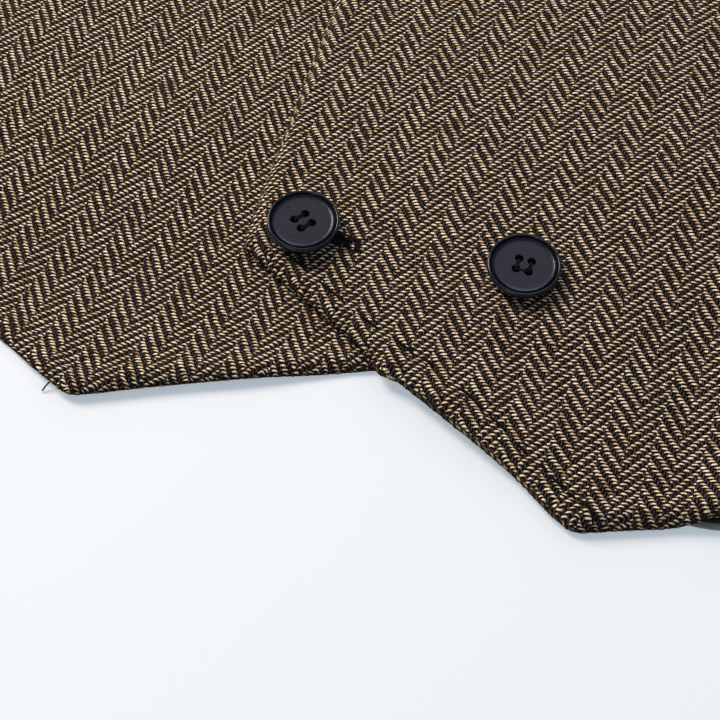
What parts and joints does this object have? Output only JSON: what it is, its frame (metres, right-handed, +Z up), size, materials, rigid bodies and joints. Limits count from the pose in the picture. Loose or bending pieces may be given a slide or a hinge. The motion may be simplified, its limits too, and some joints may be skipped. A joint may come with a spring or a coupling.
{
  "type": "suit waistcoat",
  "caption": "Double-breasted suit waistcoat in brown herringbone tweed, buttoned and laid flat on its back, with a V neck and pointed fronts.",
  "frame": {"origin": "middle of the bounding box, on the surface that the waistcoat lies on", "axes": "+Z up from the surface, +Y from the hem to the neck, +X towards the wearer's left, which is the viewer's right"},
  "size_m": [0.52, 0.6543, 0.0095],
  "materials": {
    "tweed": "matte woollen herringbone, tan on charcoal",
    "satin": "soft sheen, black lining satin",
    "button_plastic": "matte near-black"
  },
  "bodies": {
    "root": {"back": "satin", "right_front": "tweed", "left_front_lining": "satin", "left_front": "tweed", "button_edge_1": "button_plastic", "button_edge_2": "button_plastic", "button_edge_3": "button_plastic", "button_show_1": "button_plastic", "button_show_2": "button_plastic", "button_show_3": "button_plastic"}
  },
  "joints": []
}
